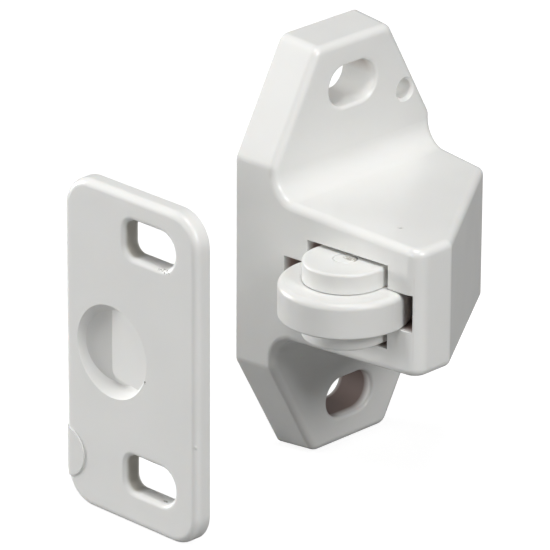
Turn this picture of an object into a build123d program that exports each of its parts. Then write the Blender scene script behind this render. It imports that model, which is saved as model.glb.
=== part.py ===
from build123d import *
import os
from math import radians, sqrt, tan

os.makedirs("parts", exist_ok=True)

# Roller catch: a moulded body with a sprung roller, and its strike plate. Millimetres.
# The origin is the centre of the flange's mounting face. +X points out of the wall,
# the roller points along -Y, and +Z runs up the flange.

# Mounting flange of the housing
flange_length = 70.0
flange_width = 36.8
flange_end_width = 17.0
flange_thickness = 7.6
flange_corner_radius = 2.0
side_draft = 4.7
outer_edge_radius = 1.3
nose_corner_radius = 2.6
wall = 2.2

# Block on the flange that holds the roller, with a concave sweep at its root
nose_reach = 36.4
nose_width = 7.4
nose_half_height = 10.6
block_top_draft = 3.2
block_bottom_draft = 1.9
rear_corner_reach = 20.2
sweep_radius = 4.0
side_corner_margin = 1.0

# Screw slots of the flange, which run along Y and narrow towards the wall, and the lock hole
slot_spacing = 53.3
slot_shift = 0.2
slot_width = 6.3
slot_travel = 3.6
slot_draft = 2.0
slot_rim_radius = 0.6
slot_boss_end = 0.5
slot_boss_wall = 1.6
lock_hole_diameter = 3.2
lock_hole_chamfer = 0.5
lock_hole_y = 11.7
lock_hole_z = 22.5

# Roller on its axle
roller_x = 22.8
axle_stand_off = 0.95
roller_radius = 10.45
roller_height = 5.9
roller_top_radius = 1.1
roller_foot_radius = 0.4
axle_diameter = 4.0
axle_chamfer = 0.3
axle_press_gap = 0.01
axle_running_gap = 0.06

# Carrier, the yoke that slides in the cross-shaped channel of the housing
carrier_width = 13.4
carrier_height = 12.8
carrier_edge_radius = 0.5
web_thickness = 3.1
roller_side_gap = 0.15
roller_rim_gap = 0.5
travel = 4.5
channel_top_gap = 0.6
channel_end_gap = 0.4

# Stop lugs on the two arms of the carrier, each in a groove of the channel
lug_width = 4.0
lug_height = 1.2
lug_length = 2.6
lug_setback = 7.0
lug_side_gap = 0.3
lug_stop_gap = 0.1

# Cross-shaped window: tall notch for the carrier and wide slot for the roller
window_x = 22.4
notch_width = 16.1
roller_slot_width = 25.5
roller_slot_height = 6.2

# Pressure spring behind the carrier
spring_diameter = 7.6
spring_wire = 0.7
spring_turns = 3.5
spring_side_gap = 0.4
spring_end_gap = 0.05
spring_cup_depth = 1.5
spring_seat_y = 4.6

# Hollows of the moulding, open at the mounting face
root_pocket_depth = 7.4
root_pocket_half_height = 9.4
root_rib_thickness = 2.0
rear_pocket_y = 7.2
rear_pocket_half_height = 8.1
flange_pocket_z = 13.2

# Strike plate, which stands in front of the roller with its face along -Y
strike_x = -9.1
strike_y = -47.0
strike_width = 29.2
strike_height = 55.2
strike_thickness = 2.9
strike_corner_radius = 5.5
strike_edge_radius = 1.2
strike_slot_inset = 18.85
strike_slot_rise = 8.8
strike_slot_spacing = 39.3
strike_slot_length = 10.7
strike_slot_height = 6.1
strike_slot_corner_radius = 1.9
strike_slot_end_radius = 3.0
strike_slot_rim_radius = 0.9

# Dished recess of the strike: the floor on the left falls towards an upright valley, and
# on the right a raised ramp with its own lower edge climbs to the rim
recess_inset = 10.5
recess_rise = 28.0
recess_radius = 7.7
recess_depth = 2.0
recess_wall_angle = 40.0
recess_floor_angle = 10.0
recess_valley_shift = 1.4
recess_ramp_depth = 1.5
recess_ramp_angle = 8.0
recess_ramp_drop = 4.9
recess_ramp_corner_radius = 1.4

# Round pad on the strike's edge, which stands a little proud of the face and the side
pad_rise = 8.2
pad_radius = 4.2
pad_proud = 0.2

# How close two positions are when an edge is looked up by its place
edge_tolerance = 0.01

lean = tan(radians(side_draft))
pin_radius = axle_diameter / 2
arm_inner = roller_height / 2 + roller_side_gap
arm_outer = carrier_height / 2
channel_half_height = arm_outer + channel_top_gap
carrier_rear_radius = roller_radius + roller_rim_gap + web_thickness
ground_z = -flange_length / 2
outside = flange_length


def window_side_y(x):
    """Y of the side with the window, at a height x above the wall."""
    return -flange_width / 2 + lean * x


def rear_side_y(x):
    return flange_width / 2 - lean * x


def block_top(x):
    return nose_half_height + (nose_reach - x) * tan(radians(block_top_draft))


def block_bottom(x):
    return -nose_half_height - (nose_reach - x) * tan(radians(block_bottom_draft))


side_corner_z = block_top(flange_thickness) + sweep_radius + side_corner_margin
roller_y = window_side_y(roller_x) - axle_stand_off
pressed_y = roller_y + travel


def filled(*points):
    return make_face(Polyline(*points, close=True))


def on_wall(sketch, x):
    """A sketch drawn in Y and Z, placed at the height x above the wall."""
    return Plane.YZ.offset(x) * sketch


def slot_bar(width, start, depth, taper=0):
    """A bar of obround section along X, as long along Y as a flange slot."""
    outline = SlotCenterToCenter(slot_travel, width)
    return Pos(0, -slot_shift, 0) * extrude(on_wall(outline, start), depth, taper=taper)


def runs_along_y(edge):
    size = edge.bounding_box().size
    return size.X < edge_tolerance and size.Z < edge_tolerance


def make_outer_form():
    """Drafted flange and block, with the concave sweeps and rounded edges."""
    half, end, tip = flange_width / 2, flange_end_width / 2, flange_length / 2
    outline = filled((-end, tip), (end, tip), (half, side_corner_z), (half, -side_corner_z),
                     (end, -tip), (-end, -tip), (-half, -side_corner_z), (-half, side_corner_z))
    flange = extrude(on_wall(outline, 0), flange_thickness, taper=side_draft)
    corners = flange.edges().filter_by(lambda e: e.bounding_box().size.X > flange_thickness / 2)
    flange = fillet(corners, flange_corner_radius)

    nose_y = window_side_y(nose_reach)
    plan = filled((0, window_side_y(0)), (nose_reach, nose_y), (nose_reach, nose_y + nose_width),
                  (rear_corner_reach, rear_side_y(rear_corner_reach)), (0, rear_side_y(0)))
    profile = Plane.XZ * filled((0, block_bottom(0)), (nose_reach, block_bottom(nose_reach)),
                                (nose_reach, block_top(nose_reach)), (0, block_top(0)))
    form = flange + (extrude(plan, outside, both=True) & extrude(profile, outside, both=True))

    def is_root(edge):
        at_front = abs(edge.center().X - flange_thickness) < edge_tolerance
        return runs_along_y(edge) and at_front and abs(edge.center().Z) < side_corner_z

    def is_nose_corner(edge):
        middle = edge.center()
        at_nose = middle.X > nose_reach - edge_tolerance
        return at_nose and abs(middle.Y - nose_y) < edge_tolerance and abs(middle.Z) < edge_tolerance + 1

    def is_outer(edge):
        if edge.bounding_box().min.X < flange_thickness - edge_tolerance:
            return False
        if runs_along_y(edge):
            at_nose = edge.center().X > nose_reach - edge_tolerance
            return at_nose or abs(edge.center().Z) > side_corner_z
        return True

    form = fillet(form.edges().filter_by(is_root), sweep_radius)
    form = fillet(form.edges().filter_by(is_nose_corner), nose_corner_radius)
    return fillet(form.edges().filter_by(is_outer), outer_edge_radius)


def make_channel():
    """The hollow that the carrier and the roller slide in, open at the window."""
    mouth_y = -flange_width
    reach = pressed_y - mouth_y
    middle_y = (pressed_y + mouth_y) / 2

    def runway(width, rear_radius):
        straight = Pos(window_x, middle_y) * Rectangle(width, reach)
        round_end = Pos(roller_x, pressed_y) * Circle(rear_radius)
        band = Pos(window_x, pressed_y) * Rectangle(width, 4 * rear_radius)
        return straight + (round_end & band)

    arm_runway = runway(notch_width, carrier_rear_radius + channel_end_gap)
    roller_runway = runway(roller_slot_width, roller_slot_width / 2)
    channel = extrude(arm_runway, channel_half_height, both=True)
    channel += extrude(roller_runway, roller_slot_height / 2, both=True)

    groove_front = roller_y + lug_setback - lug_stop_gap
    groove_length = lug_length + travel + 2 * lug_stop_gap
    groove_height = 2 * (arm_outer + lug_height + lug_side_gap)
    channel += Pos(roller_x, groove_front + groove_length / 2, 0) * Box(
        lug_width + 2 * lug_side_gap, groove_length, groove_height)

    bore_length = spring_seat_y - pressed_y
    bore = Cylinder(spring_diameter / 2 + spring_side_gap, bore_length, rotation=(90, 0, 0))
    return channel + Pos(roller_x, spring_seat_y - bore_length / 2, 0) * bore


def make_back_hollows():
    """Hollows that leave an even wall, open at the mounting face."""
    half = flange_width / 2 - wall
    root_rear = rear_pocket_y - wall
    root_length = root_rear + half
    root = Box(root_pocket_depth, root_length, 2 * root_pocket_half_height)
    root -= Box(root_pocket_depth, root_length, root_rib_thickness)
    root = Pos(root_pocket_depth / 2, root_rear - root_length / 2, 0) * root

    nose_y = window_side_y(nose_reach) + nose_width
    rear_y = rear_side_y(rear_corner_reach)
    run = (rear_corner_reach - nose_reach) / (rear_y - nose_y)
    inset = wall * sqrt(1 + run * run)

    def end_face_x(y):
        return nose_reach + (y - nose_y) * run - inset

    far_y = rear_side_y(rear_corner_reach) - wall
    plan = filled((0, rear_pocket_y), (end_face_x(rear_pocket_y), rear_pocket_y),
                  (end_face_x(far_y), far_y), (0, half))
    hollows = root + extrude(plan, rear_pocket_half_height, both=True)

    tip = flange_length / 2 - wall
    end = flange_end_width / 2 - wall / 2
    shoulder = side_corner_z - wall / 2
    for side in (1, -1):
        outline = filled((-half, side * flange_pocket_z), (half, side * flange_pocket_z),
                         (half, side * shoulder), (end, side * tip),
                         (-end, side * tip), (-half, side * shoulder))
        pocket = extrude(on_wall(outline, 0), flange_thickness - wall)
        boss = slot_bar(slot_width + 2 * slot_boss_wall, slot_boss_end, flange_thickness)
        pocket -= Pos(0, 0, side * slot_spacing / 2) * boss
        if side > 0:
            sleeve = Cylinder(lock_hole_diameter / 2 + wall, 2 * flange_thickness, rotation=(0, 90, 0))
            pocket -= Pos(0, lock_hole_y, lock_hole_z) * sleeve
        hollows += pocket
    return hollows


def rounded_rims(body, is_on_face, places, reach, radius):
    """Rounds the edges on a face that lie within `reach` of the given places."""
    def is_rim(edge):
        middle = edge.bounding_box().center()
        return is_on_face(edge) and any((middle - place).length < reach for place in places)

    return fillet(body.edges().filter_by(is_rim), radius)


def make_housing():
    body = make_outer_form() - make_channel() - make_back_hollows()
    slot = slot_bar(slot_width, -edge_tolerance, 2 * flange_thickness, taper=-slot_draft)
    places = []
    for side in (1, -1):
        body -= Pos(0, 0, side * slot_spacing / 2) * slot
        places.append(Vector(flange_thickness, -slot_shift, side * slot_spacing / 2))

    def is_on_front(edge):
        box = edge.bounding_box()
        return box.size.X < edge_tolerance and abs(box.min.X - flange_thickness) < edge_tolerance

    body = rounded_rims(body, is_on_front, places, slot_width, slot_rim_radius)
    hole_radius = lock_hole_diameter / 2
    hole = Cylinder(hole_radius, 4 * flange_thickness, rotation=(0, 90, 0))
    chamfer_cone = Cone(hole_radius, hole_radius + lock_hole_chamfer, lock_hole_chamfer,
                        rotation=(0, 90, 0))
    hole += Pos(flange_thickness - lock_hole_chamfer / 2, 0, 0) * chamfer_cone
    return body - Pos(0, lock_hole_y, lock_hole_z) * hole


def make_carrier():
    """Two arms with round ends, joined behind the roller by a curved web."""
    half = carrier_width / 2
    outline = Pos(roller_x, roller_y) * Circle(half)
    band = Pos(roller_x, roller_y + carrier_rear_radius) * Rectangle(
        carrier_width, 2 * carrier_rear_radius)
    outline += band & (Pos(roller_x, roller_y) * Circle(carrier_rear_radius))
    yoke = extrude(outline, arm_outer, both=True)
    rims = yoke.edges().filter_by(lambda e: e.bounding_box().size.Z < edge_tolerance)
    yoke = fillet(rims, carrier_edge_radius)
    roller_space = Cylinder(roller_radius + roller_rim_gap, 2 * arm_inner)
    axle_bore = Cylinder(pin_radius + axle_press_gap, 2 * carrier_height)
    yoke -= Pos(roller_x, roller_y, 0) * (roller_space + axle_bore)

    cup_y = roller_y + carrier_rear_radius - spring_cup_depth
    cup_length = 2 * spring_cup_depth
    cup = Cylinder(spring_diameter / 2 + spring_side_gap, cup_length, rotation=(90, 0, 0))
    yoke -= Pos(roller_x, cup_y + cup_length / 2, 0) * cup

    front = roller_y + lug_setback
    ramp = Plane.YZ.offset(roller_x) * filled(
        (front, arm_outer - lug_height), (front, arm_outer + lug_height),
        (front + lug_length / 2, arm_outer + lug_height), (front + lug_length, arm_outer - lug_height))
    lug = extrude(ramp, lug_width / 2, both=True)
    return yoke + lug + mirror(lug, Plane.XY)


def make_roller():
    wheel = Cylinder(roller_radius, roller_height)
    rims = wheel.edges().filter_by(GeomType.CIRCLE).sort_by(Axis.Z)
    wheel = fillet(rims[-1], roller_top_radius)
    wheel = fillet(wheel.edges().filter_by(GeomType.CIRCLE).sort_by(Axis.Z)[0], roller_foot_radius)
    wheel -= Cylinder(pin_radius + axle_running_gap, 2 * roller_height)
    return Pos(roller_x, roller_y, 0) * wheel


def make_axle_pin():
    pin = Cylinder(pin_radius, carrier_height)
    pin = chamfer(pin.edges().filter_by(GeomType.CIRCLE), axle_chamfer)
    return Pos(roller_x, roller_y, 0) * pin


def make_spring():
    """Round wire coil along Y between the carrier's cup and the housing's seat."""
    front = roller_y + carrier_rear_radius - spring_cup_depth + spring_end_gap
    length = spring_seat_y - spring_end_gap - front
    coil_radius = (spring_diameter - spring_wire) / 2
    rise = length - spring_wire
    path = Helix(pitch=rise / spring_turns, height=rise, radius=coil_radius)
    section = Plane(path @ 0, z_dir=path % 0) * Circle(spring_wire / 2)
    coil = sweep(section, path, is_frenet=True)
    return Pos(roller_x, front + spring_wire / 2, 0) * Rot(-90, 0, 0) * coil


def make_strike():
    """Plate with two screw slots, a dished recess and a half-round pad on its edge."""
    face = Plane.XZ.offset(-strike_y)
    centre_x = strike_x + strike_width / 2
    centre_z = ground_z + strike_height / 2

    def from_face(sketch, start, depth):
        """Extrudes a sketch drawn in X and Z from `start` below the face, along +Y."""
        return extrude(face.offset(-start) * sketch, -depth)

    def slab(growth):
        """The plate with rounded front edges, grown outwards on its sides and its face."""
        outline = RectangleRounded(strike_width + 2 * growth, strike_height + 2 * growth,
                                   strike_corner_radius + growth)
        block = from_face(Pos(centre_x, centre_z) * outline, -growth, strike_thickness + growth)
        front_rim = block.faces().sort_by(Axis.Y)[0].edges()
        return fillet(front_rim, strike_edge_radius + growth)

    pad_bar = from_face(Pos(strike_x, ground_z + pad_rise) * Circle(pad_radius),
                        -1, strike_thickness + 1)
    plate = slab(0) + (slab(pad_proud) & pad_bar)

    slot = Rectangle(strike_slot_length, strike_slot_height)
    slot = fillet(slot.vertices().group_by(Axis.X)[0], strike_slot_corner_radius)
    slot = fillet(slot.vertices().group_by(Axis.X)[-1], strike_slot_end_radius)
    slot_x = strike_x + strike_slot_inset
    places = []
    for row in (0, 1):
        slot_z = ground_z + strike_slot_rise + row * strike_slot_spacing
        plate -= from_face(Pos(slot_x, slot_z) * slot, -1, strike_thickness + 2)
        places.append(Vector(slot_x, strike_y, slot_z))

    def is_on_face(edge):
        box = edge.bounding_box()
        return box.size.Y < edge_tolerance and abs(box.min.Y - strike_y) < edge_tolerance

    plate = rounded_rims(plate, is_on_face, places, strike_slot_length, strike_slot_rim_radius)

    recess_x = strike_x + recess_inset
    centre = Pos(recess_x, ground_z + recess_rise)
    foot_radius = recess_radius - recess_depth * tan(radians(recess_wall_angle))
    dish = loft([face.offset(-recess_depth) * centre * Circle(foot_radius),
                 face * centre * Circle(recess_radius)])
    valley_x = recess_x - recess_valley_shift
    floor_rise = tan(radians(recess_floor_angle)) * strike_width
    floor_y = strike_y + recess_depth
    floor = filled((valley_x + strike_width, floor_y), (valley_x, floor_y),
                   (valley_x - strike_width, floor_y - floor_rise),
                   (valley_x - strike_width, strike_y - floor_rise),
                   (valley_x + strike_width, strike_y - floor_rise))
    ramp_rise = tan(radians(recess_ramp_angle)) * strike_width
    ramp_y = strike_y + recess_ramp_depth
    under_ramp = filled((valley_x, ramp_y), (valley_x + strike_width, ramp_y - ramp_rise),
                        (valley_x + strike_width, floor_y + 1), (valley_x, floor_y + 1))
    foot_z = ground_z + recess_rise - recess_ramp_drop
    front = filled((valley_x, foot_z), (valley_x + strike_width, foot_z),
                   (valley_x + strike_width, foot_z + strike_width), (valley_x, foot_z + strike_width))
    corner = front.vertices().sort_by(lambda vertex: vertex.X + vertex.Y)[0]
    front = fillet(corner, recess_ramp_corner_radius)
    ramp = extrude(under_ramp, outside, both=True) & from_face(front, -1, strike_thickness + 2)
    return plate - ((dish & extrude(floor, outside, both=True)) - ramp)


for node, make in (("housing", make_housing), ("roller_carrier", make_carrier),
                   ("roller", make_roller), ("axle_pin", make_axle_pin),
                   ("pressure_spring", make_spring), ("strike_plate", make_strike)):
    export_step(make(), "parts/" + node + ".step")
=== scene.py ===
from math import radians

import bpy
from mathutils import Matrix, Vector


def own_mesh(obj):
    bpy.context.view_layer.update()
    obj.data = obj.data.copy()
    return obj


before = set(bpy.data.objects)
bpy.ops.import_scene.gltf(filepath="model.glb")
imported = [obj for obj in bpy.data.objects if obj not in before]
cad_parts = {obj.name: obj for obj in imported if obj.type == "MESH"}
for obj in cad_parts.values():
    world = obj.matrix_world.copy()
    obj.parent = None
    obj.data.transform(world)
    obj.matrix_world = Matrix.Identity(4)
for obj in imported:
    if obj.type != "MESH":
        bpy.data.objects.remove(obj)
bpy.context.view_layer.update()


# Housing. One injection moulding in glossy white plastic: the flange that screws to the
# cabinet, and the block with the cross-shaped window. The mould's gate left a small mark on
# top of the block, and the skin keeps the fine ripple and shallow sinks of a thick moulding.
housing_white = (0.86, 0.86, 0.84, 1)
housing_shade = (0.81, 0.81, 0.79, 1)
housing_polish = 0.2
housing_glow = 0.12
plastic_ior = 1.5
glow_reach = (1.0, 0.8, 0.6)
glow_scale = 0.001

ripple_size = 0.0006
ripple_share = 0.02
sink_size = 0.012
sink_haze = 0.06
skin_depth = 0.00012

housing_gate = (0.0281, -0.0107, 0.0111)
mark_grey = (0.35, 0.35, 0.34, 1)
mark_radius = 0.0004
pit_edge = (0.5, 0.8)
ring_edge = (0.9, 1.3)
mark_strength = 0.35
mark_depth = 0.6

speck_grain = 0.0003
speck_fade = 0.6
speck_blur = 0.15
speck_roughness = 0.3

slot_rise = 0.02665
slot_shift = 0.0002
slot_half_travel = 0.0018
slot_reach = 0.0037
slot_soft = 0.0003

window_lean = 0.0838
# Tones of painted shade: brown in the window's channel, and a lighter and a darker one in the
# two flange slots.
channel_shade = (0.42, 0.31, 0.28, 1)
slot_shade = (0.50, 0.44, 0.40, 1)
slot_deep_shade = (0.22, 0.17, 0.155, 1)

# Hollows painted with shade as a darker, browner tone. Each has its low and high corner, its
# soft margins, its lean along the window's side, the height of the flange slot that it fills,
# and its tone.
window_painted_shade = ((0.0085, -0.0182, -0.0080), (0.0354, -0.0095, 0.0064),
               (0.0001, 0.0014, 0.0005), window_lean, None, channel_shade)
upper_slot_painted_shade = ((0.0, -0.0060, 0.0265), (0.0069, 0.0060, 0.0320),
                   (0.0012, 0.0002, 0.0030), 0.0, slot_rise, slot_shade)
lower_slot_painted_shade = ((0.0, -0.0060, -0.0310), (0.0069, 0.0060, -0.0223),
                   (0.0012, 0.0002, 0.0004), 0.0, -slot_rise, slot_deep_shade)


def feed(tree, socket, value):
    """Link another node's output to a socket, or set the socket's own value."""
    if isinstance(value, bpy.types.NodeSocket):
        tree.links.new(value, socket)
    else:
        socket.default_value = value


def math_node(tree, operation, *values):
    node = tree.nodes.new("ShaderNodeMath")
    node.operation = operation
    for socket, value in zip(node.inputs, values):
        feed(tree, socket, value)
    return node.outputs[0]


def vector_node(tree, operation, result, *values):
    node = tree.nodes.new("ShaderNodeVectorMath")
    node.operation = operation
    for socket, value in zip(node.inputs, values):
        feed(tree, socket, value)
    return node.outputs[result]


def noise_node(tree, place, scale, detail=2.0):
    node = tree.nodes.new("ShaderNodeTexNoise")
    feed(tree, node.inputs["Vector"], place)
    feed(tree, node.inputs["Scale"], scale)
    feed(tree, node.inputs["Detail"], detail)
    return node.outputs[0]


def smooth_step(tree, value, start, end, first=0.0, last=1.0):
    """A smooth change from the first level to the last while a value goes from start to end."""
    node = tree.nodes.new("ShaderNodeMapRange")
    node.interpolation_type = "SMOOTHSTEP"
    for name, given in (("Value", value), ("From Min", start), ("From Max", end),
                        ("To Min", first), ("To Max", last)):
        feed(tree, node.inputs[name], given)
    return node.outputs[0]


def mix_colours(tree, amount, first, second):
    node = tree.nodes.new("ShaderNodeMix")
    node.data_type = "RGBA"
    for name, given in (("Factor", amount), ("A", first), ("B", second)):
        feed(tree, node.inputs[name], given)
    return [socket for socket in node.outputs if socket.type == "RGBA"][0]


def new_group(name, inputs, outputs):
    """An empty shader group that takes a surface's place and the named inputs."""
    tree = bpy.data.node_groups.new(name, "ShaderNodeTree")
    tree.interface.new_socket("Place", in_out="INPUT", socket_type="NodeSocketVector")
    for label, kind, value in inputs:
        socket = tree.interface.new_socket(label, in_out="INPUT", socket_type=kind)
        socket.default_value = value
    for label, kind in outputs:
        tree.interface.new_socket(label, in_out="OUTPUT", socket_type=kind)
    given = tree.nodes.new("NodeGroupInput").outputs
    result = tree.nodes.new("NodeGroupOutput").inputs
    return tree, given, result


def make_moulded_skin():
    """Colour, roughness and height of a moulded skin, from sizes in metres."""
    tree, given, result = new_group(
        "moulded_skin",
        (("Light Tone", "NodeSocketColor", housing_white),
         ("Dark Tone", "NodeSocketColor", housing_shade),
         ("Ripple Size", "NodeSocketFloat", ripple_size),
         ("Sink Size", "NodeSocketFloat", sink_size),
         ("Polish", "NodeSocketFloat", housing_polish),
         ("Haze", "NodeSocketFloat", sink_haze)),
        (("Colour", "NodeSocketColor"), ("Roughness", "NodeSocketFloat"),
         ("Height", "NodeSocketFloat")))
    ripple_scale = math_node(tree, "DIVIDE", 1.0, given["Ripple Size"])
    ripple = noise_node(tree, given["Place"], ripple_scale)
    sink_scale = math_node(tree, "DIVIDE", 1.0, given["Sink Size"])
    sink = noise_node(tree, given["Place"], sink_scale, detail=1.0)
    colour = mix_colours(tree, sink, given["Light Tone"], given["Dark Tone"])
    haze = math_node(tree, "MULTIPLY", given["Haze"], sink)
    fine = math_node(tree, "MULTIPLY", ripple, ripple_share)
    feed(tree, result["Colour"], colour)
    feed(tree, result["Roughness"], math_node(tree, "ADD", given["Polish"], haze))
    feed(tree, result["Height"], math_node(tree, "ADD", fine, sink))
    return tree


def make_mould_mark():
    """A round mark of the mould: a shallow pit in a raised ring, and a mask of its inside."""
    tree, given, result = new_group(
        "mould_mark",
        (("Centre", "NodeSocketVector", (0, 0, 0)), ("Radius", "NodeSocketFloat", mark_radius)),
        (("Mask", "NodeSocketFloat"), ("Height", "NodeSocketFloat")))
    distance = vector_node(tree, "DISTANCE", "Value", given["Place"], given["Centre"])
    reach = math_node(tree, "DIVIDE", distance, given["Radius"])
    inside = smooth_step(tree, reach, *pit_edge, first=1.0, last=0.0)
    whole = smooth_step(tree, reach, *ring_edge, first=1.0, last=0.0)
    ring = math_node(tree, "SUBTRACT", whole, inside)
    feed(tree, result["Mask"], inside)
    feed(tree, result["Height"], math_node(tree, "SUBTRACT", ring, inside))
    return tree


def make_speck_patch():
    """Fine specks inside an oval patch, from its centre and half sizes."""
    tree, given, result = new_group(
        "speck_patch",
        (("Centre", "NodeSocketVector", (0, 0, 0)), ("Half Size", "NodeSocketVector", (1, 1, 1)),
         ("Grain", "NodeSocketFloat", speck_grain), ("Cover", "NodeSocketFloat", 0.5)),
        (("Mask", "NodeSocketFloat"),))
    offset = vector_node(tree, "SUBTRACT", "Vector", given["Place"], given["Centre"])
    scaled = vector_node(tree, "DIVIDE", "Vector", offset, given["Half Size"])
    reach = vector_node(tree, "LENGTH", "Value", scaled)
    fade = smooth_step(tree, reach, speck_fade, 1.0, first=1.0, last=0.0)
    grain_scale = math_node(tree, "DIVIDE", 1.0, given["Grain"])
    noise = noise_node(tree, given["Place"], grain_scale)
    bare = math_node(tree, "SUBTRACT", 1.0, given["Cover"])
    full = math_node(tree, "SUBTRACT", 1.0 + speck_blur, given["Cover"])
    specks = smooth_step(tree, noise, bare, full)
    feed(tree, result["Mask"], math_node(tree, "MULTIPLY", fade, specks))
    return tree


moulded_skin = make_moulded_skin()
mould_mark = make_mould_mark()
speck_patch = make_speck_patch()


def place_group(tree, group, place, **values):
    """A group's outputs where it reads the surface's place, with its values set by name."""
    node = tree.nodes.new("ShaderNodeGroup")
    node.node_tree = group
    feed(tree, node.inputs["Place"], place)
    for name, value in values.items():
        feed(tree, node.inputs[name.replace("_", " ")], value)
    return node.outputs


def box_mask(tree, place, low, high, soft, lean, slot_z):
    """One inside a box, falling to zero over a soft margin within each of its sides. Given the
    height of a flange slot, it also ends just past that slot's wall."""
    axes = tree.nodes.new("ShaderNodeSeparateXYZ")
    feed(tree, axes.inputs[0], place)
    along, across, up = axes.outputs
    if lean:
        across = math_node(tree, "SUBTRACT", across, math_node(tree, "MULTIPLY", along, lean))
    limits = []
    for value, start, end, margin in zip((along, across, up), low, high, soft):
        limits += [(value, start, 1.0 / margin), (value, end, -1.0 / margin)]
    if slot_z is not None:
        shifted = math_node(tree, "ABSOLUTE", math_node(tree, "ADD", across, slot_shift))
        past_travel = math_node(tree, "SUBTRACT", shifted, slot_half_travel)
        run = math_node(tree, "MAXIMUM", past_travel, 0.0)
        rise = math_node(tree, "SUBTRACT", up, slot_z)
        squares = math_node(tree, "ADD", math_node(tree, "MULTIPLY", run, run),
                            math_node(tree, "MULTIPLY", rise, rise))
        limits.append((math_node(tree, "SQRT", squares), slot_reach, -1.0 / slot_soft))
    mask = None
    for value, edge, slope in limits:
        inward = math_node(tree, "MULTIPLY", math_node(tree, "SUBTRACT", value, edge), slope)
        floored = math_node(tree, "MAXIMUM", inward, 0.0)
        clamped = math_node(tree, "MINIMUM", floored, 1.0)
        mask = clamped if mask is None else math_node(tree, "MULTIPLY", mask, clamped)
    return mask


def new_finish(name):
    """A material, its tree, its shader and the socket with the surface's place."""
    finish = bpy.data.materials.new(name)
    finish.use_nodes = True
    tree = finish.node_tree
    place = tree.nodes.new("ShaderNodeTexCoord").outputs["Object"]
    return finish, tree, tree.nodes["Principled BSDF"], place


def moulded_finish(name, light, shade, polish, glow, marks=(), speck_patches=(), speck_colour=None,
                   painted_shades=()):
    """Glossy moulded plastic with the centres of its mould marks, its grey speck patches, each a
    centre, half sizes and a cover, and the painted shade of its hollows."""
    finish, tree, shader, place = new_finish(name)
    skin = place_group(tree, moulded_skin, place, Light_Tone=light, Dark_Tone=shade,
                       Polish=polish)
    colour, roughness, height = skin["Colour"], skin["Roughness"], skin["Height"]
    for centre in marks:
        mark = place_group(tree, mould_mark, place, Centre=centre)
        amount = math_node(tree, "MULTIPLY", mark["Mask"], mark_strength)
        colour = mix_colours(tree, amount, colour, mark_grey)
        step = math_node(tree, "MULTIPLY", mark["Height"], mark_depth)
        height = math_node(tree, "ADD", height, step)
    # Grey speck patches, each mixed in with its own colour; on the axle pin they are painted
    # shade.
    for centre, half_size, cover in speck_patches:
        speck_group = place_group(tree, speck_patch, place, Centre=centre, Half_Size=half_size,
                            Cover=cover)
        colour = mix_colours(tree, speck_group["Mask"], colour, speck_colour)
        rough = math_node(tree, "MULTIPLY", speck_group["Mask"], speck_roughness)
        roughness = math_node(tree, "ADD", roughness, rough)
    # Painted shade: each hollow's colour is mixed towards its darker tone.
    for low, high, soft, lean, slot_z, shade_tone in painted_shades:
        shade_mask = box_mask(tree, place, low, high, soft, lean, slot_z)
        colour = mix_colours(tree, shade_mask, colour, shade_tone)
    bump = tree.nodes.new("ShaderNodeBump")
    bump.inputs["Distance"].default_value = skin_depth
    bump.inputs["Strength"].default_value = 1.0
    feed(tree, bump.inputs["Height"], height)
    feed(tree, shader.inputs["Normal"], bump.outputs["Normal"])
    feed(tree, shader.inputs["Base Color"], colour)
    feed(tree, shader.inputs["Roughness"], roughness)
    shader.inputs["Subsurface Weight"].default_value = glow
    shader.inputs["Subsurface Radius"].default_value = glow_reach
    shader.inputs["Subsurface Scale"].default_value = glow_scale
    shader.inputs["IOR"].default_value = plastic_ior
    return finish


def dress(node, finish):
    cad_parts[node].data.materials.clear()
    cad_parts[node].data.materials.append(finish)


# The housing carries the gate mark, and painted shade in its window channel and flange slots.
dress("housing", moulded_finish(
    "housing_plastic", housing_white, housing_shade, housing_polish, housing_glow,
    marks=[housing_gate], painted_shades=[window_painted_shade, upper_slot_painted_shade, lower_slot_painted_shade]))


# Pressure spring. Drawn steel wire coiled between the carrier's cup and the housing's seat, with
# fine drawing lines.
wire_grey = (0.42, 0.42, 0.43, 1)
wire_roughness = 0.5
streak_roughness = 0.25
streak_scale = 1800

finish, tree, shader, place = new_finish("spring_wire")
streaks = noise_node(tree, place, streak_scale)
rough = math_node(tree, "MULTIPLY_ADD", streaks, streak_roughness, wire_roughness)
feed(tree, shader.inputs["Roughness"], rough)
shader.inputs["Metallic"].default_value = 1.0
shader.inputs["Base Color"].default_value = wire_grey
dress("pressure_spring", finish)

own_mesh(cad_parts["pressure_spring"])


# Carrier. A nylon yoke that slides in the housing. Its two round eyes hold the axle above
# and below the roller. Nylon is softer in shine than the housing and lets a little light in.
nylon_white = (0.80, 0.80, 0.78, 1)
nylon_shade = (0.77, 0.77, 0.75, 1)
nylon_polish = 0.34
nylon_glow = 0.2

dress("roller_carrier", moulded_finish(
    "carrier_nylon", nylon_white, nylon_shade, nylon_polish, nylon_glow))


# Axle pin. A short nylon pin pressed through both eyes, with the roller between them. Its end
# sits a little low in the eye, and the shade in the crescent beside it is painted on as grey
# patches.
pin_polish = 0.4
pin_shade_grey = (0.42, 0.40, 0.36, 1)
# Painted shade: two grey patches, the darker one inside, where the crescent beside the pin's end
# lies in shade.
pin_painted_shade = (((0.0234, -0.0170, 0.0063), (0.0017, 0.0008, 0.0006), 0.62),
              ((0.0243, -0.0163, 0.0063), (0.0008, 0.0007, 0.0006), 0.9))

dress("axle_pin", moulded_finish(
    "axle_nylon", nylon_white, nylon_shade, pin_polish, nylon_glow,
    speck_patches=pin_painted_shade, speck_colour=pin_shade_grey))


# Roller. A nylon disc with rounded rims that turns on the axle, moulded in one piece. It
# drops into the strike plate's recess when the door shuts.
dress("roller", moulded_finish(
    "roller_nylon", nylon_white, nylon_shade, nylon_polish, nylon_glow))
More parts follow.
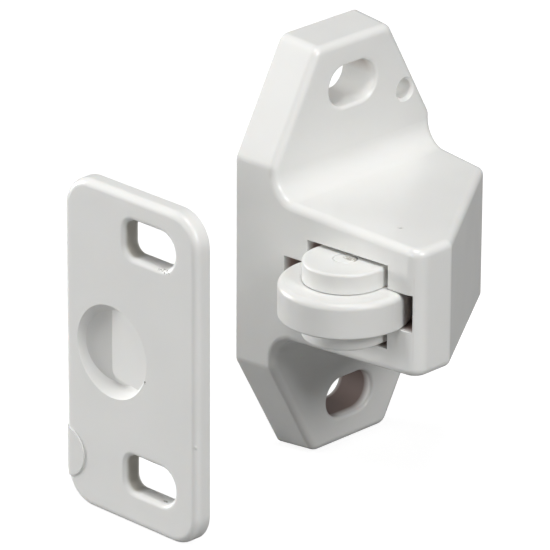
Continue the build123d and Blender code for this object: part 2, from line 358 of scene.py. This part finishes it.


# Strike plate. A flat moulding of the same plastic as the housing, which screws to the door.
# Its dished recess takes the roller. A pin of the mould left a dot on the face, and grey specked
# patches sit at the edges of the slots and the recess.
strike_polish = 0.285
strike_dot = (0.0199, -0.047, -0.0174)
# Painted shade on the left walls of the two slots, a darker tone from each slot's foot to its
# top.
strike_shade = (0.50, 0.48, 0.43, 1)
strike_slot_feet = (-0.0295, 0.0098)
strike_slot_height = 0.0061
strike_painted_shades = [((0.0032, -0.0467, foot), (0.0072, -0.0440, foot + strike_slot_height),
                 (0.0010, 0.0005, 0.0003), 0.0, None, strike_shade) for foot in strike_slot_feet]
strike_patch_grey = (0.30, 0.29, 0.27, 1)
strike_patches = (((0.0128, -0.0468, 0.0099), (0.0019, 0.0007, 0.0005), 0.5),
                 ((0.0122, -0.0469, 0.0161), (0.0007, 0.0004, 0.0004), 0.45),
                 ((0.0098, -0.0467, -0.0229), (0.0021, 0.0005, 0.0002), 0.7),
                 ((0.0135, -0.0468, -0.0237), (0.0008, 0.0004, 0.0005), 0.5),
                 ((0.0122, -0.0458, -0.0294), (0.0012, 0.0004, 0.0003), 0.6),
                 ((0.0053, -0.0468, -0.0009), (0.0006, 0.0005, 0.0005), 0.45),
                 ((0.0088, -0.0469, -0.0098), (0.0003, 0.0004, 0.0004), 0.6))

dress("strike_plate", moulded_finish(
    "strike_plastic", housing_white, housing_shade, strike_polish, housing_glow,
    marks=[strike_dot], speck_patches=strike_patches, speck_colour=strike_patch_grey, painted_shades=strike_painted_shades))


# Floor. A pale studio floor under the object's lowest edge, white to the camera where no
# shadow falls on it.
floor_z = -0.035
floor_reach = 3.0
floor_tone = (0.25, 0.25, 0.25, 1)
floor_roughness = 0.9
floor_glow = 0.88

floor_mesh = bpy.data.meshes.new("floor")
corners = [(x * floor_reach, y * floor_reach, floor_z)
           for x, y in ((-1, -1), (1, -1), (1, 1), (-1, 1))]
floor_mesh.from_pydata(corners, [], [(0, 1, 2, 3)])
floor = bpy.data.objects.new("floor", floor_mesh)
bpy.context.scene.collection.objects.link(floor)
finish, tree, shader, place = new_finish("floor_paper")
shader.inputs["Base Color"].default_value = floor_tone
shader.inputs["Roughness"].default_value = floor_roughness
seen = tree.nodes.new("ShaderNodeLightPath").outputs["Is Camera Ray"]
glow = tree.nodes.new("ShaderNodeEmission")
feed(tree, glow.inputs["Strength"], math_node(tree, "MULTIPLY", seen, floor_glow))
joined = tree.nodes.new("ShaderNodeAddShader")
feed(tree, joined.inputs[0], shader.outputs[0])
feed(tree, joined.inputs[1], glow.outputs[0])
feed(tree, tree.nodes["Material Output"].inputs["Surface"], joined.outputs[0])
floor_mesh.materials.append(finish)


# Light. Four broad lamps: strong ones overhead and far out at the left, a weak one low in
# front, and one half high at the right. A dim sky, a little brighter at the upper left,
# fills the shadows, and the camera sees it plain white.
lamps = (("key_lamp", (0.20, -0.19, 0.95), 0.45, 5.0),
         ("left_lamp", (-0.92, -0.38, 0.12), 0.40, 9.0),
         ("front_lamp", (0.02, -0.98, 0.20), 0.40, 1.6),
         ("right_lamp", (0.84, -0.07, 0.53), 0.40, 4.9))
lamp_target = Vector((0.01, -0.012, 0.0))
sky_white = (1, 1, 1, 1)
sky_dim = 0.03
sky_bright = 0.13
sky_side = (-0.80, -0.30, 0.52)

for name, place, size, power in lamps:
    light = bpy.data.lights.new(name, "AREA")
    light.shape = "DISK"
    light.size = size
    light.energy = power
    lamp = bpy.data.objects.new(name, light)
    bpy.context.scene.collection.objects.link(lamp)
    back = (Vector(place) - lamp_target).normalized()
    turn = back.to_track_quat("Z", "Y").to_matrix().to_4x4()
    lamp.matrix_world = Matrix.Translation(place) @ turn

world = bpy.data.worlds.new("studio")
bpy.context.scene.world = world
world.use_nodes = True
tree = world.node_tree
direction = tree.nodes.new("ShaderNodeTexCoord").outputs["Generated"]
facing = vector_node(tree, "DOT_PRODUCT", "Value", direction, sky_side)
sky_level = tree.nodes.new("ShaderNodeMapRange")
for name, given in (("Value", facing), ("From Min", -1.0), ("From Max", 1.0),
                    ("To Min", sky_dim), ("To Max", sky_bright)):
    feed(tree, sky_level.inputs[name], given)
seen = tree.nodes.new("ShaderNodeLightPath").outputs["Is Camera Ray"]
level = math_node(tree, "MAXIMUM", seen, sky_level.outputs[0])
feed(tree, tree.nodes["Background"].inputs["Strength"], level)
tree.nodes["Background"].inputs["Color"].default_value = sky_white


# Camera. A long lens from the front right and above, as in the photograph. Its place and
# turn were fitted to the corners, slots and roller that the photograph shows.
camera_yaw = radians(44.61)
camera_pitch = radians(22.62)
camera_roll = radians(0.30)
camera_distance = 0.87797
camera_offset = (-0.00688, -0.00761)
lens_length = 360
lens_sensor = 36
lens_near = 0.05

yaw_turn = Matrix.Rotation(camera_yaw, 4, "Z")
pitch_turn = Matrix.Rotation(radians(90) - camera_pitch, 4, "X")
roll_turn = Matrix.Rotation(camera_roll, 4, "Z")
lens = bpy.data.cameras.new("camera")
lens.lens = lens_length
lens.sensor_width = lens_sensor
lens.clip_start = lens_near
camera = bpy.data.objects.new("camera", lens)
bpy.context.scene.collection.objects.link(camera)
step_back = Matrix.Translation((*camera_offset, camera_distance))
camera.matrix_world = yaw_turn @ pitch_turn @ roll_turn @ step_back
bpy.context.scene.camera = camera
bpy.context.scene.view_settings.view_transform = "Standard"
